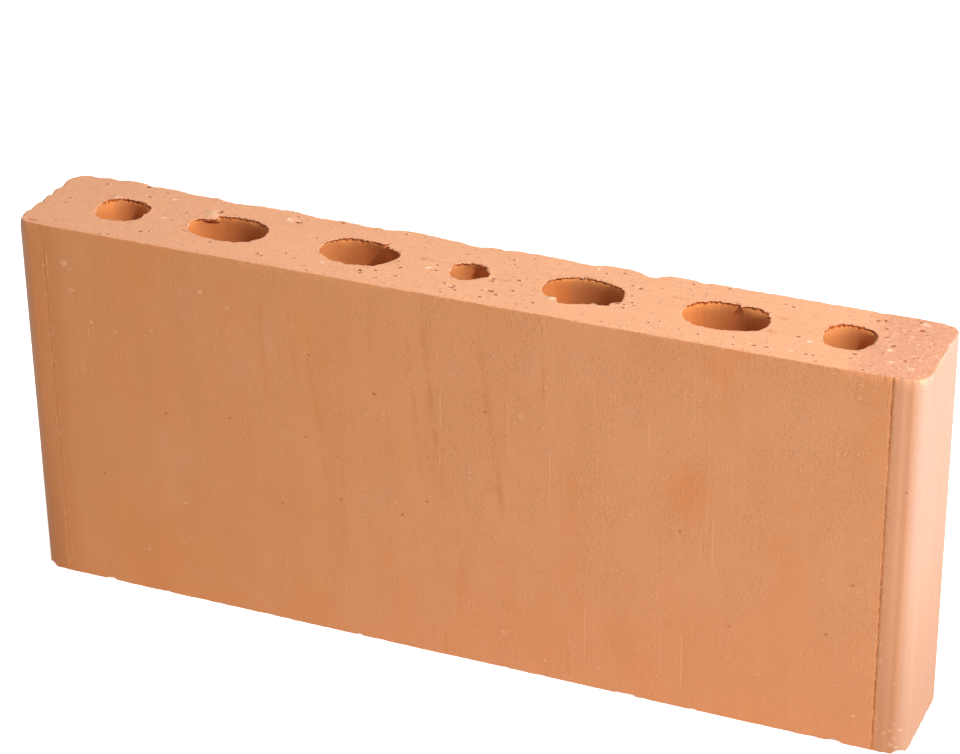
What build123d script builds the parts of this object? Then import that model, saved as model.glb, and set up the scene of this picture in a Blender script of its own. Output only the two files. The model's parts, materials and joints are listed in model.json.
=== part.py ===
from build123d import *
import os

# Perforated clay partition block, in millimetres.
# It is one piece of fired clay: an extruded column of one section, cut off square by a wire.
# X runs along the block, the front face looks towards -Y, and Z is up, along the holes.
# The origin is the middle of the lower cut face.

# Overall size
block_length = 490.0
block_thickness = 63.0
block_height = 210.0

# Upright corners, rounded by the mouth of the die
corner_radius = 9.0

# Holes in one row along the middle of the thickness
end_hole_diameter = 25.0
middle_hole_diameter = 19.0
oval_length = 42.0
oval_width = 27.0

# Each end of an oval is an arc whose radius is this share of the oval's width
oval_end_share = 0.41

# Clay left between the middle hole, the inner oval, the outer oval and the end hole,
# as shares of all the clay along half the row; what is left over stands outside the end hole
web_shares = (0.242, 0.257, 0.228)

# Fine upright creases that the joints of the die leave in the front face, near its two ends
crease_width = 0.9
crease_depth = 0.5
crease_from_corner = 7.5

# How far a cutting outline runs past the face that it opens
overrun = 1.0

half_length = block_length / 2
front_face = -block_thickness / 2


def row_centres():
    """Distances of the inner oval, the outer oval and the end hole from the block's middle."""
    hole_lengths = (oval_length, oval_length, end_hole_diameter)
    clay = half_length - middle_hole_diameter / 2 - sum(hole_lengths)
    centres = []
    edge = middle_hole_diameter / 2
    for share, hole_length in zip(web_shares, hole_lengths):
        edge += clay * share
        centres.append(edge + hole_length / 2)
        edge += hole_length
    return centres


def oval_arcs():
    """Four arcs that meet smoothly: two tight ones round the ends and two flat ones along the sides."""
    end_radius = oval_width * oval_end_share
    half_long = oval_length / 2
    half_wide = oval_width / 2
    end_centre = half_long - end_radius
    side_radius = (end_centre**2 + half_wide**2 - end_radius**2) / (2 * (half_wide - end_radius))
    side_centre = side_radius - half_wide
    reach = end_radius / (side_radius - end_radius)
    join_x = end_centre * (1 + reach)
    join_y = side_centre * reach
    ThreePointArc((-join_x, join_y), (0, half_wide), (join_x, join_y))
    ThreePointArc((join_x, join_y), (half_long, 0), (join_x, -join_y))
    ThreePointArc((join_x, -join_y), (0, -half_wide), (-join_x, -join_y))
    ThreePointArc((-join_x, -join_y), (-half_long, 0), (-join_x, join_y))


def crease_outline(place):
    """A shallow V that opens in the front face at this distance along the block."""
    half_wide = crease_width / 2
    Polyline(
        (place - half_wide, front_face - overrun),
        (place - half_wide, front_face),
        (place, front_face + crease_depth),
        (place + half_wide, front_face),
        (place + half_wide, front_face - overrun),
        close=True,
    )


inner_oval, outer_oval, end_hole = row_centres()
oval_places = [(x, 0) for x in (-outer_oval, -inner_oval, inner_oval, outer_oval)]
crease_place = half_length - corner_radius - crease_from_corner

with BuildSketch() as oval:
    with BuildLine():
        oval_arcs()
    make_face()

with BuildPart() as block:
    with BuildSketch() as section:
        RectangleRounded(block_length, block_thickness, corner_radius)
        with Locations((-end_hole, 0), (end_hole, 0)):
            Circle(end_hole_diameter / 2, mode=Mode.SUBTRACT)
        with Locations((0, 0)):
            Circle(middle_hole_diameter / 2, mode=Mode.SUBTRACT)
        with Locations(*oval_places):
            add(oval.sketch, mode=Mode.SUBTRACT)
        for crease in (-crease_place, crease_place):
            with BuildLine():
                crease_outline(crease)
            make_face(mode=Mode.SUBTRACT)
    extrude(amount=block_height)

os.makedirs("parts", exist_ok=True)
export_step(block.part, "parts/clay_block.step")
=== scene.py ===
"""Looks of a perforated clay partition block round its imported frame: torn faces, dragged skin, fired clay."""

import json
import math
from collections import namedtuple
from functools import reduce
from itertools import product

import bpy
import numpy as np
from bpy.props import FloatProperty, FloatVectorProperty, IntProperty, PointerProperty
from bpy.types import Operator, Panel, PropertyGroup
from mathutils import Matrix, Vector


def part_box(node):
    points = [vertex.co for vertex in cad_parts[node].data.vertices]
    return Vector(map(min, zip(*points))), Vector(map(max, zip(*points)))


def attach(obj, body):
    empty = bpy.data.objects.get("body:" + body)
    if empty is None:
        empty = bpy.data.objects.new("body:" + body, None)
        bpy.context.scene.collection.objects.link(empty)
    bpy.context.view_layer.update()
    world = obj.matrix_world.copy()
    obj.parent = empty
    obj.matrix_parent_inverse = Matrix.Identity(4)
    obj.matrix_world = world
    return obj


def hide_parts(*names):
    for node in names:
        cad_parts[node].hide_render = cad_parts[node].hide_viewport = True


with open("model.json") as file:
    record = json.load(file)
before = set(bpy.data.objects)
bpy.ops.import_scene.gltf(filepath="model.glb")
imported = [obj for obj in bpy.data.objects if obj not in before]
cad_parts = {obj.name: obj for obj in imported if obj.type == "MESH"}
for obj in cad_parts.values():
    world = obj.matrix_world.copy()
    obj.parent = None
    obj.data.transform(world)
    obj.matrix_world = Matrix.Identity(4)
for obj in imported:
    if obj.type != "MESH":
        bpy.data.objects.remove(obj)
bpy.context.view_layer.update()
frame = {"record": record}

bl_info = {
    "name": "Perforated clay block",
    "version": (1, 0, 0),
    "blender": (4, 5, 0),
    "location": "3D View > Sidebar > Clay block",
    "description": "Builds an extruded, wire-cut and fired clay block with seven holes, and its studio",
    "category": "Object",
}

MM = 0.001
BLOCK = "clay_block"
BLOCK_LOW, BLOCK_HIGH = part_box(BLOCK)

Hole = namedtuple("Hole", "place half_long half_wide end_radius")
Cell = namedtuple("Cell", "hole front right back left")
Vertices = namedtuple("Vertices", "x y z inside out_x out_y")

# Edges that the cutting wire tore, read off the photograph: (place in mm, how far the edge stands out in mm)
BACK_EDGE = (
    (-240, 1.5), (-231, 0.9), (-224, 2.5), (-217, 1.9), (-213, 3.6), (-208, 3.5), (-203, 3.0), (-199, 2.3),
    (-196, 0.9), (-192, 1.8), (-184, 1.7), (-178, 1.1), (-175, -0.3), (-165, 0.3), (-159, 1.1),
    (-153, -0.8), (-148, -1.4), (-142, -1.0), (-133, 0.3), (-124, 0.4), (-120, -0.2), (-114, 1.2),
    (-109, 0.0), (-104, -1.0), (-97, -1.8), (-90, -1.5), (-83, -0.8), (-74, -1.7), (-67, -2.4), (-63, -0.8),
    (-59, -2.9), (-53, -0.6), (-45, 0.5), (-35, 0.4), (-27, -0.8), (-17, -1.6), (-10, -3.6), (-5, -3.6),
    (-1, -1.9), (4, -1.0), (7, -2.4), (11, -0.9), (24, -0.6), (39, -0.6), (45, -1.4), (53, -2.4),
    (58, -1.5), (63, 0.8), (76, 0.5), (81, -1.5), (85, -3.8), (87, -4.5), (90, -4.2), (92, -1.0), (95, 0.8),
    (109, 0.6), (114, -0.8), (119, 0.5), (154, 0.6), (181, 0.5), (189, 0.8), (206, 0.6), (213, 1.2),
    (224, 1.1), (231, 0.3), (238, -0.1), (242, 0.4),
)
LEFT_EDGE = (
    (-30, -0.6), (-24, -1.5), (-18.6, -0.3), (-16.5, -1.7), (-8, -0.3), (-5, -2.2), (2, -0.3), (4.2, -2.4),
    (10.7, -0.4), (13, -1.8), (18, -2.0), (22.4, -0.3), (26, -1.0), (30, -2.6),
)
RIGHT_EDGE = (
    (-30, -0.8), (-27, -1.6), (-22, -0.7), (-15, -0.2), (-9, -0.6), (-5, -1.3), (-1, -0.4), (7, -0.5),
    (11, -1.3), (15, -0.4), (24, 0.0), (30, -0.5),
)
FRONT_EDGE = (
    (-236, -0.9), (-228, -0.2), (-180, -0.1), (-60, -0.2), (30, 0.0), (120, -0.1), (196, -0.1), (211, -0.5),
    (219, -1.2), (226, -0.7), (232, -1.1), (240, -1.4),
)
# How far each rim stands off its bore, hole by hole from the left: (degrees from +X to the back, mm outwards)
RIM_EDGES = (
    ((0, 0.7), (29, 3.0), (56, 1.3), (90, 0.1), (120, 1.4), (147, 2.9), (180, 1.6), (210, 1.6), (228, 2.3),
     (270, -0.4), (300, 0.2), (329, 1.8)),
    ((2, 0.3), (33, 1.7), (65, 1.0), (100, 0.6), (118, 0.3), (133, 0.4), (139, -1.4), (147, -2.1),
     (154, -1.6), (161, -0.4), (167, 0.7), (176, 1.1), (209, 1.5), (240, 0.6), (291, 0.9), (324, 0.8)),
    ((0, 0.2), (12, 1.2), (22, -0.6), (38, -1.2), (48, -0.4), (51, 4.6), (55, 0.2), (90, -0.1), (118, 0.9),
     (132, 1.8), (157, 0.3), (183, -0.3), (207, 0.4), (236, 1.4), (252, 0.9), (272, 1.3), (292, 1.1),
     (319, 1.9), (340, -1.4), (350, -1.4)),
    ((0, 1.4), (14, 0.6), (29, -0.6), (52, -0.2), (74, -0.8), (101, -0.4), (138, 0.3), (162, 0.5),
     (185, 0.1), (225, 0.4), (270, 1.0), (300, 0.2), (318, -0.9), (332, -0.3), (348, 1.6)),
    ((0, 0.5), (12, 0.1), (35, 1.0), (72, 1.0), (100, 0.9), (121, 1.2), (152, 0.2), (180, -0.4), (202, 0.7),
     (222, 0.5), (232, -0.8), (240, 3.0), (252, 4.1), (262, 3.0), (274, 0.4), (288, -0.2), (304, -1.6),
     (311, -2.4), (316, 0.6), (322, 0.9), (330, 1.4), (337, -2.0), (343, -2.4), (348, 1.3), (355, 0.8)),
    ((8, 0.7), (22, 1.0), (34, 2.4), (46, 2.6), (65, 1.3), (70, 0.2), (74, -0.8), (78, 0.0), (84, 0.7),
     (101, 0.8), (132, 2.1), (155, 1.4), (180, 0.8), (201, 1.5), (228, 2.2), (250, 1.1), (263, 1.0),
     (284, 0.4), (306, 0.0), (326, 0.6), (336, 1.9), (350, 0.9)),
    ((19, 0.1), (49, 1.7), (85, 1.2), (104, 1.6), (120, 2.6), (148, 2.0), (176, 0.9), (210, 0.4),
     (231, 0.5), (252, -1.2), (270, -1.9), (290, -1.0), (311, -0.9), (330, -1.9), (343, -2.4), (356, -0.9)),
)
# Pits in the upper cut face: (x, y, radius, depth) in mm
PITS = (
    (-221.5, 26.0, 0.9, 0.9), (-192.1, 19.5, 1.1, 0.9), (-185.6, 27.1, 0.7, 0.6), (-231.5, 4.2, 0.7, 0.6),
    (-214.4, -22.2, 0.6, 0.6), (-224.4, -23.4, 0.6, 0.6), (-176.8, -19.3, 0.9, 0.8),
    (-172.1, -18.1, 0.6, 0.5), (-136.8, -17.5, 0.9, 0.9), (-108.0, -21.1, 0.9, 0.9),
    (-105.2, -22.6, 1.0, 1.0), (-95.1, -15.2, 0.9, 0.8), (-88.6, -18.7, 0.7, 0.8), (-167.4, -1.7, 0.6, 0.5),
    (-164.8, 9.9, 0.7, 0.6), (-230.9, -2.3, 0.8, 0.5), (-149.7, 17.4, 1.5, 2.2), (-138.0, -29.3, 0.6, 0.5),
    (-190.3, -28.7, 0.7, 0.5), (-194.4, -30.1, 0.7, 0.6), (-199.7, 30.6, 1.4, 1.6),
    (-105.6, 21.3, 1.5, 1.8), (-108.0, 26.5, 0.7, 0.7), (-102.1, 24.8, 0.8, 0.7), (-88.0, 6.6, 0.8, 0.7),
    (-83.5, 28.9, 1.0, 0.8), (-51.7, -19.3, 1.1, 1.1), (-50.0, -22.3, 0.9, 0.7), (-44.1, -16.4, 0.9, 0.9),
    (-40.6, -24.0, 0.7, 0.5), (-34.1, -8.7, 1.1, 1.0), (-32.3, -18.1, 0.9, 0.7), (-37.0, -2.8, 0.6, 0.5),
    (-17.6, 0.1, 0.9, 0.8), (-15.9, -5.2, 0.8, 0.7), (-1.8, -18.7, 1.4, 1.2), (1.8, -22.3, 0.9, 0.9),
    (-5.9, -17.0, 0.8, 0.6), (-4.1, -27.0, 0.9, 0.8), (18.2, -15.8, 1.4, 1.2), (22.3, -19.3, 1.0, 1.1),
    (14.1, -17.5, 0.8, 0.7), (15.9, -24.6, 1.0, 0.8), (27.0, -0.5, 1.1, 0.9), (28.8, -12.3, 1.0, 0.8),
    (42.9, -21.1, 0.9, 0.8), (35.9, -25.2, 0.7, 0.5), (13.6, -2.3, 1.3, 1.5), (14.9, -6.1, 1.0, 0.9),
    (15.9, 20.1, 0.9, 0.7), (25.3, 25.4, 0.7, 0.6), (18.2, 15.4, 0.7, 0.5), (-8.8, 17.7, 0.7, 0.6),
    (-47.0, 27.7, 0.9, 0.7), (-64.1, 27.1, 0.8, 0.6), (72.9, 26.6, 1.0, 0.8), (64.7, 23.0, 0.8, 0.6),
    (81.7, 14.8, 0.8, 0.8), (85.9, 14.4, 1.2, 1.3), (82.3, -6.4, 0.9, 0.9), (81.7, -27.5, 0.6, 0.5),
    (-76.4, -29.3, 0.8, 0.6), (-66.4, -30.2, 0.7, 0.7), (85.1, 4.2, 0.9, 1.0), (85.1, -6.4, 0.8, 0.9),
    (88.0, -2.8, 0.8, 0.8), (89.8, -5.8, 0.7, 0.6), (85.6, -9.7, 0.8, 0.8), (127.4, 29.0, 0.9, 0.9),
    (109.2, 27.1, 0.8, 0.6), (158.6, 23.0, 0.7, 0.6), (162.7, 21.9, 0.9, 0.9), (205.0, 23.0, 1.1, 1.3),
    (208.4, 24.6, 0.8, 0.8), (211.5, 16.0, 1.1, 0.9), (102.7, -19.9, 0.8, 0.8), (107.4, -17.0, 0.7, 0.6),
    (129.2, -22.8, 0.8, 0.8), (118.6, -21.1, 0.7, 0.5), (156.8, -22.8, 1.2, 1.1), (145.6, -19.3, 0.8, 0.7),
    (148.0, -26.7, 0.7, 0.9), (163.9, -23.4, 1.0, 0.8), (183.3, -23.1, 1.0, 0.9), (186.8, -23.1, 0.8, 1.0),
    (205.0, -15.2, 1.1, 1.1), (204.4, -19.9, 0.9, 0.9), (174.4, -7.6, 1.0, 0.9), (219.1, 0.7, 1.3, 1.3),
    (212.7, -29.0, 0.9, 1.1), (189.7, -28.6, 0.7, 0.7), (227.4, 20.7, 1.5, 1.0), (222.1, 17.2, 0.8, 0.8),
    (231.0, 15.4, 0.8, 0.8), (214.2, 7.4, 0.8, 0.9), (217.0, -9.2, 0.8, 0.7), (228.4, -13.0, 1.0, 0.7),
    (236.2, 4.1, 0.7, 0.6), (225.0, 27.8, 1.0, 0.9), (233.8, -8.4, 0.7, 0.5),
)
# Streaks that the wire dragged in the upper cut face: (first x, last x, y, half width, depth) in mm
STREAKS = (
    (-32.0, -21.0, 4.8, 0.5, 0.5), (-86.0, -79.5, 28.9, 0.5, 0.5), (101.0, 113.0, 11.3, 0.5, 0.5),
    (157.0, 164.5, 9.0, 0.9, 0.4), (157.0, 164.0, -6.5, 0.6, 0.7), (-240.0, -233.5, -27.2, 0.7, 1.5),
    (-232.0, -219.0, 14.8, 0.4, 0.15), (-145.0, -138.0, 16.2, 0.4, 0.4), (-46.0, -40.5, 6.6, 0.5, 0.3),
    (15.5, 22.0, -3.1, 0.5, 0.8), (36.0, 41.0, -7.6, 0.4, 0.5), (204.0, 212.0, 24.4, 0.5, 0.4),
    (-158.5, -151.5, -9.2, 0.5, 0.8), (-216.0, -208.0, 13.6, 0.4, 0.5), (-52.0, -47.5, -20.4, 0.4, 0.5),
    (86.0, 92.0, 13.2, 0.3, 0.3),
)
# Pale grains in the upper cut face, and lumps of clay, which rise more: (x, y, radius, rise) in mm
GRAINS = (
    (-111.5, 22.1, 1.7, 0.7), (-21.2, -4.0, 1.2, 0.6), (-73.5, -18.1, 0.8, 0.4), (222.7, -16.4, 1.0, 0.6),
    (232.7, -19.9, 1.3, 0.7), (175.6, -22.8, 0.9, 0.4), (218.5, -5.2, 1.2, 0.5), (180.9, -10.5, 1.1, 0.4),
    (59.4, 26.6, 0.9, 0.5), (49.6, -13.6, 1.7, 0.7), (71.9, -11.6, 1.5, 0.7), (-178.6, 21.9, 0.9, 0.3),
    (-173.3, 0.1, 1.0, 0.3), (-152.2, 13.4, 2.5, 0.9), (-208.0, 12.6, 1.8, 0.8), (227.4, 26.4, 1.4, 0.5),
    (-36.2, -19.6, 0.7, 0.3),
)
SPOTS = tuple((x, y, radius, -depth) for x, y, radius, depth in PITS) + GRAINS

# How much longer a spot is along X than across
SPOT_STRETCH = 1.15

# Rise in mm of the pale grains, and how far from it theirs may be: a spot that rises more is a lump
GRAIN_RISE = 0.375
GRAIN_SPREAD = 0.37

# Grits and pocks in the front skin: (x, z, radius, rise) in mm
SKIN_SPOTS = (
    (-217, 190, 2.1, 0.5), (-213.5, 187, 1.0, 0.3), (-214, 175, 1.5, 0.4), (-137, 188, 1.2, 0.4),
    (-149, 187, 0.9, 0.3), (-203, 158, 0.9, 0.4), (-189, 155, 1.2, 0.5), (-181, 144, 0.8, 0.3),
    (-154, 59, 1.1, 0.6), (-210, 129, 0.8, 0.3), (40, 151, 1.5, 0.4), (36.5, 153, 0.8, 0.3),
    (30, 22, 1.6, 0.4), (32, 26, 0.8, 0.3), (53, 10, 1.2, 0.4), (82, 13, 1.1, 0.4), (218, 18, 1.1, 0.5),
    (-122, 181, 1.1, 0.3), (-167, 160, 1.1, 0.3), (66, 25, 0.8, 0.4), (-45, 135, 0.8, 0.3),
    (-229.8, 71, 1.0, 0.4), (-229.6, 63, 0.7, 0.3), (-229.9, 55, 0.7, 0.3), (-229.8, 52, 0.6, 0.3),
    (-229.7, 146, 0.7, 0.3), (-229.6, 133, 0.8, 0.3), (-229.8, 128, 0.6, 0.3), (-229.7, 192, 0.7, 0.3),
    (-229.8, 186, 0.6, 0.3), (-178, 25, 0.9, 0.3), (-156, 34, 0.8, 0.3), (213, 196, 1.0, 0.4),
    (90, 172, 0.9, 0.3), (168, 30, 0.9, 0.4), (-40, 148, 1.2, -0.4), (-95, 72, 0.8, -0.3),
    (-162, 112, 0.9, -0.3), (-160, 109, 0.6, -0.3), (-202, 67, 1.1, -0.3), (-51, 74, 0.8, -0.3),
    (-26, 80, 0.9, -0.3), (-124, 117, 0.9, -0.3), (125, 104, 0.9, -0.5), (202, 62, 1.0, -0.6),
    (152, 55, 0.9, -0.4), (-80, 115, 0.8, -0.3), (214, 93, 1.1, -0.3), (-12, 91, 0.9, -0.3),
    (-12, 112, 0.9, -0.3), (-11, 117, 0.7, -0.3), (21, 150, 0.9, -0.3), (-62, 107, 0.8, -0.3),
    (-61, 82, 0.9, -0.3), (-76, 163, 0.8, -0.3), (-192, 181, 0.6, -0.3), (241.6, 195, 1.1, 0.6),
    (237.5, 6, 1.5, 0.6), (239.5, 10, 1.6, 0.6), (240.5, 4, 1.4, 0.6), (237.0, 14, 1.0, 0.4),
    (241.5, 14, 1.0, 0.6), (239.0, 18, 0.9, 0.4), (234.0, 12, 0.9, 0.4), (238.0, 150, 0.6, -0.4),
    (243.0, 80, 0.8, -0.4), (243.5, 200, 1.1, 0.4), (242.5, 205, 1.0, 0.5), (236.5, 92, 0.7, 0.4),
    (240.0, 138, 0.7, 0.4), (237.5, 42, 0.8, 0.4),
)
# Chips out of the arrises: (x, y, z, radius of the scoop, depth) in mm
CHIPS = (
    (-240.5, -29.0, 0, 6, 1.6), (-203, -31.5, 0, 5, 1.5), (-168, -31.5, 0, 6, 0.7), (-53, -31.5, 0, 4, 0.8),
    (31, -31.5, 0, 5, 0.7), (97, -31.5, 0, 18, 1.1), (134, -31.5, 0, 6, 0.7), (181, -31.5, 0, 4, 0.5),
    (209, -31.5, 0, 6, 1.6), (241.6, -28.8, 0, 7, 1.6), (245, -14, 0, 5, 0.8), (245, 9, 0, 6, 0.7),
    (239.0, -30.9, 210, 4, 1.1), (242.6, -27.4, 210, 5, 1.5), (-244, -25, 210, 4, 1.0),
    (-8, 31.5, 210, 6, 1.6), (87, 31.5, 210, 6, 1.8), (-150, 31.5, 0, 7, 1.2), (40, 31.5, 0, 6, 1.0),
    (170, 31.5, 0, 9, 1.4), (-245, 10, 0, 6, 1.1), (-60, 31.5, 210, 5, 1.0),
)
# Troughs dragged down the front skin: (x at the top, z of both ends, slant, half width, depth) in mm
TROUGHS = (
    (-79, 80, 183, 12, 2.4, 0.03), (-13, 104, 199, 9, 2.1, 0.045), (-22, 88, 193, 9, 2.2, 0.025),
    (17, 84, 198, 14, 2.0, 0.035),
)
# Middle and radius of the orange patch on the front skin, along X and up, in mm
SMUDGE_PATCH = ((129, 12), (127, 17))
# Light scratches on the front skin: (x at the top, z of both ends, slant, half width in mm, strength)
SCRATCHES = (
    (33.2, 122, 162, 0.2, 0.35, 1.0), (33.0, 85, 120, 0.0, 0.25, 0.5), (56.0, 95, 146, 0.0, 0.35, 1.0),
    (-3.0, 106, 160, -1.5, 0.40, 0.9), (108.5, 143, 171, -0.5, 0.30, 0.7),
    (131.2, 165, 195, 0.0, 0.30, 0.7), (139.5, 92, 166, -0.5, 0.40, 0.8), (136.5, 88, 112, -0.5, 0.30, 0.9),
    (142.3, 83, 120, 0.0, 0.35, 0.9), (151.5, 118, 168, 0.0, 0.30, 0.7), (156.5, 114, 136, 0.0, 0.30, 0.7),
    (75.0, 12, 50, 0.0, 0.35, 0.7), (113.5, 54, 96, 0.0, 0.30, 0.5), (115.5, 14, 62, 1.0, 0.35, 0.8),
    (127.3, 11, 48, 0.0, 0.50, 1.0), (-60.0, 20, 42, 0.0, 0.40, 0.6), (63.5, 108, 126, 0.0, 0.35, 0.6),
    (-130.5, 150, 178, 0.0, 0.30, 0.4),
)
# Dark lines that wander down the front skin, in the same order of values
DARK_LINES = (
    (-79, 80, 183, 12, 3.0, 0.45), (-13, 104, 199, 9, 2.6, 0.75), (-22, 88, 193, 9, 2.4, 0.45),
    (17, 84, 198, 14, 2.6, 0.7), (52, 158, 192, 1, 1.4, 0.45), (-60, 40, 115, 1, 1.8, 0.35),
    (-3, -4, 17, 0, 1.2, 0.7), (66, 2, 22, 0, 0.8, 0.9), (-40, 168, 206, -2, 1.4, 0.3),
    (-104, 120, 200, 4, 3.0, 0.3), (8, 20, 70, -3, 2.4, 0.25), (-88, 150, 206, 3, 2.0, 0.3),
    (-4, 96, 140, 1, 1.8, 0.4), (-132, 150, 178, 0, 1.2, 0.3),
)
# The painted shadow of the crack under the flap of clay in the left outer oval: it bends up both ways from
# its lowest point
FLAP_PLACE = -149.1 * MM
FLAP_FOOT = 206.3 * MM
FLAP_BEND = 95.0

# The flap itself: how far to the left of that point its middle lies, where its sides end, and how soft the
# painted crack shadow's edges are, both as two distances in mm
FLAP_ASIDE = 1.8 * MM
FLAP_SIDES = (3.8, 4.8)
CRACK_SHADOW_EDGES = (0.1, 0.5)


def srgb(red, green, blue):
    """Scene-linear colour of a screen colour given as three bytes."""
    shares = np.array([red, green, blue]) / 255
    linear = np.where(shares <= 0.04045, shares / 12.92, ((shares + 0.055) / 1.055) ** 2.4)
    return tuple(float(part) for part in linear)


def number(name, description, default, **settings):
    return FloatProperty(name=name, description=description, default=default, **settings)


def length(name, description, default):
    return number(name, description, default, unit="LENGTH", precision=5)


def point(name, description, default):
    return FloatVectorProperty(name=name, description=description, default=default,
                               subtype="TRANSLATION", unit="LENGTH")


def colour(name, description, default):
    return FloatVectorProperty(name=name, description=description, default=default,
                               subtype="COLOR", min=0, max=1)


class BlockSizes(PropertyGroup):
    corner_radius: length("Corner radius", "Radius of the four upright corners", 9.0 * MM)
    oval_length: length("Oval length", "Length of an oval hole along the block", 42.0 * MM)
    oval_width: length("Oval width", "Width of an oval hole across the block", 27.0 * MM)
    oval_end_radius: length("Oval end radius", "Radius of the arc at each end of an oval hole", 11.07 * MM)
    crease_width: length("Crease width", "Width of the two fine upright creases", 0.9 * MM)
    crease_depth: length("Crease depth", "Depth of the two fine upright creases", 0.5 * MM)
    crease_place: length("Crease place", "Distance of each crease from the middle of the block", 228.5 * MM)
    front_step: length("Front step", "Distance between the mesh columns of the front face", 0.95 * MM)
    back_step: length("Back step", "Distance between the mesh columns of the back and the ends", 1.25 * MM)
    web_step: length("Web step", "Distance between mesh points across the webs between holes", 1.65 * MM)
    top_rings: IntProperty(name="Top rings", description="Mesh rings from a rim to the arris", default=27)
    bottom_rings: IntProperty(name="Bottom rings", description="The same on the lower cut face", default=6)


class ReliefSizes(PropertyGroup):
    arris: length("Arris rounding", "How far the arrises are worn off", 0.5 * MM)
    skin_wave: length("Skin waves", "Height of the broad waves in the extruded skin", 0.10 * MM)
    skin_drag: length("Skin drag lines", "Height of the fine upright drag lines", 0.012 * MM)
    corner_swell: length("Corner swell", "Height of the swell and valley beside each corner", 0.28 * MM)
    cut_wave: length("Cut waves", "Height of the broad waves in the cut faces", 0.25 * MM)
    cut_drag: length("Cut drag lines", "Height of the fine lines dragged along the cut", 0.07 * MM)
    cut_grain: length("Cut grain", "Height of the grain of the cut faces", 0.06 * MM)
    rough_end: length("Rough end", "Height of the torn clay at the right end of the upper cut", 0.14 * MM)
    rim_teeth: length("Rim teeth", "Height of the fine teeth of the torn rims", 0.55 * MM)
    rim_pockets: length("Rim pockets", "Depth of the hollows torn under the back rims", 0.7 * MM)


class ClayColours(PropertyGroup):
    skin: colour("Skin", "Fired skin of the outer faces", srgb(219, 148, 101))
    skin_ochre: colour("Ochre skin", "Yellower clay towards the left end", srgb(212, 141, 90))
    # Dark skin: the clay of the drag lines, and also painted shade in the creases, pocks, sunk spots and
    # notches
    dark_skin_and_shade: colour("Dark skin", "Drag lines and the insides of creases", srgb(176, 98, 46))
    cut: colour("Cut face", "Wire-cut clay", srgb(223, 161, 122))
    cut_rough: colour("Rough cut", "Pinker torn clay", srgb(209, 147, 115))
    bore: colour("Bore", "Walls of the holes", srgb(213, 131, 71))
    torn: colour("Torn clay", "Freshly torn edges and lips", srgb(240, 188, 152))
    # Painted sheen: a paler, greyer colour over the ends, standing in for the sheen of the lit end face
    painted_sheen: colour("Bloom", "Pale dry skin of the two ends", srgb(208, 168, 146))
    # Painted shade: the dark of pits, pocks, streaks, notches, the back rims' brink and the gaps under the rims
    hollow: colour("Hollow", "Bottoms of pits", srgb(168, 78, 28))
    grit: colour("Grit", "Pale lime grit", srgb(246, 218, 186))
    smudge: colour("Smudge", "Orange smudge on the front", srgb(216, 132, 72))


class StudioSettings(PropertyGroup):
    camera_place: point("Camera place", "Where the camera stands", (0.54549, -1.24395, 0.87007))
    camera_aim: point("Camera aim", "Point that the camera looks at", (0.00506, 0.0, 0.15105))
    camera_roll: number("Camera roll", "Turn about the line of sight", math.radians(-0.789), unit="ROTATION")
    camera_lens: number("Lens", "Focal length", 113.06, unit="CAMERA")
    lamp_aim: point("Lamp aim", "Point that both lamps face", (0.05, 0.0, 0.12))
    key_place: point("Key lamp place", "Middle of the lamp high on the right", (1.45, -0.30, 1.80))
    key_width: length("Key lamp width", "Side of the square key lamp", 0.25)
    key_power: number("Key lamp power", "Power of the key lamp", 56.0, unit="POWER")
    fill_place: point("Fill lamp place", "Middle of the lamp low in front", (0.75, -1.30, 0.20))
    fill_width: length("Fill lamp width", "Side of the square fill lamp", 0.4)
    fill_power: number("Fill lamp power", "Power of the fill lamp", 1.2, unit="POWER")
    sky_light: number("Sky light", "Strength of the even light from all round", 0.38)
    floor_width: length("Floor width", "Side of the square floor", 8.0)
    floor_albedo: number("Floor albedo", "Share of light that the floor returns", 0.8)
    floor_light: number("Floor light", "Light that the floor gives of itself", 0.15)
    floor_glow: number("Floor glow", "White added to the floor for the camera", 0.62)


# Whole-array helpers

# How many random values each noise has along an axis before it repeats
LATTICE = 61

# Noises by kind: (size of a cell in mm, along all axes or along X, Y and Z, and seed)
NOISES = {
    "arris_teeth": (1.5, 11), "lower_arris": (2.4, 12), "arris_wear": (5, 13), "torn_arris": (2.2, 14),
    "torn_rim": (1.8, 15), "skin_wave": ((14, 14, 110), 21), "skin_drag": ((1.9, 1.9, 60), 22),
    "trough_waver": (14, 23), "crease_breaks": ((4, 4, 2.5), 31), "cut_wave": ((26, 20, 40), 41),
    "cut_drag": ((22, 1.7, 40), 42), "cut_grain": ((1.9, 1.7, 40), 43), "cut_ridges": ((2.6, 2.2, 40), 44),
    "rough_border": (9, 45), "rim_teeth": (0.95, 50), "rim_pockets": (1.1, 60), "lower_rim": (2.4, 70),
    "rim_bites": (2.3, 80), "streak_waver": (4, 80), "chip_grain": (1.7, 90),
}


def lattice_noise(place, kind, number=0):
    """Smooth noise from -1 to 1 at x, y and z. Random values sit on the corners of a lattice of cells, and a
    point mixes the eight corners round it, each axis by the smooth step 3t2 - 2t3 of its place in the cell.
    The number tells apart the noises of one kind."""
    cell, seed = NOISES[kind]
    values = np.random.default_rng(seed + number).uniform(-1, 1, (LATTICE, LATTICE, LATTICE))
    spots = np.stack(np.broadcast_arrays(*place), axis=-1) / (np.array(cell) * MM)
    corners = np.floor(spots).astype(int)
    shares = smooth(spots - corners, 0, 1)
    total = np.zeros(spots.shape[:-1])
    for step in product((0, 1), repeat=3):
        share = np.prod(np.where(step, shares, 1 - shares), axis=-1)
        index = (corners + step) % LATTICE
        total += share * values[index[..., 0], index[..., 1], index[..., 2]]
    return total


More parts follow.
